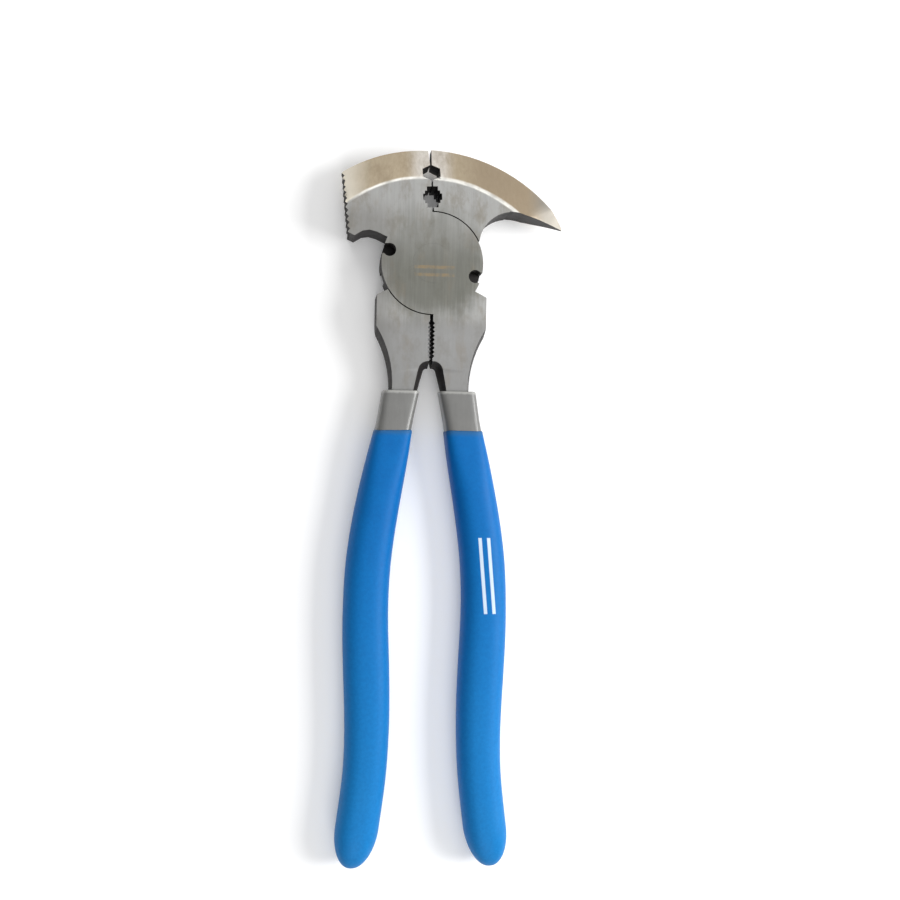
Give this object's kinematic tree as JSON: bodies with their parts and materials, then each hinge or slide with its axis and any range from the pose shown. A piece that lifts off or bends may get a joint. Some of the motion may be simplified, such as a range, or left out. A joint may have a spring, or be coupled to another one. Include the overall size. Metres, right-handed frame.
{
  "type": "fencing pliers",
  "caption": "Lap-joint fence pliers with a toothed hammer face, a curved staple claw, wire cutters and long dipped vinyl handles.",
  "frame": {"origin": "on the pivot's axis, in the plane of the back faces that the tool lies on", "axes": "+X to the claw's side, +Y to the jaws, +Z out of the front face along the pivot"},
  "size_m": [0.083, 0.2666, 0.016],
  "materials": {
    "forged_steel": "drop-forged steel, faces and bevels ground satin, edges forged",
    "rivet_steel": "ground flush with the faces",
    "grey_vinyl": "satin dipped vinyl base coat",
    "blue_vinyl": "satin dipped vinyl outer coat with a fine skin texture"
  },
  "bodies": {
    "claw_side": {"claw_half": "forged_steel", "pivot_rivet": "rivet_steel", "left_base_coat": "grey_vinyl", "left_grip": "blue_vinyl"},
    "hammer_side": {"hammer_half": "forged_steel", "right_base_coat": "grey_vinyl", "right_grip": "blue_vinyl"}
  },
  "joints": [
    {"name": "pivot", "type": "hinge", "parent": "claw_side", "child": "hammer_side", "pos_m": [0, 0, 0.008], "axis": [0, 0, 1], "range_deg": [0, 50]}
  ]
}
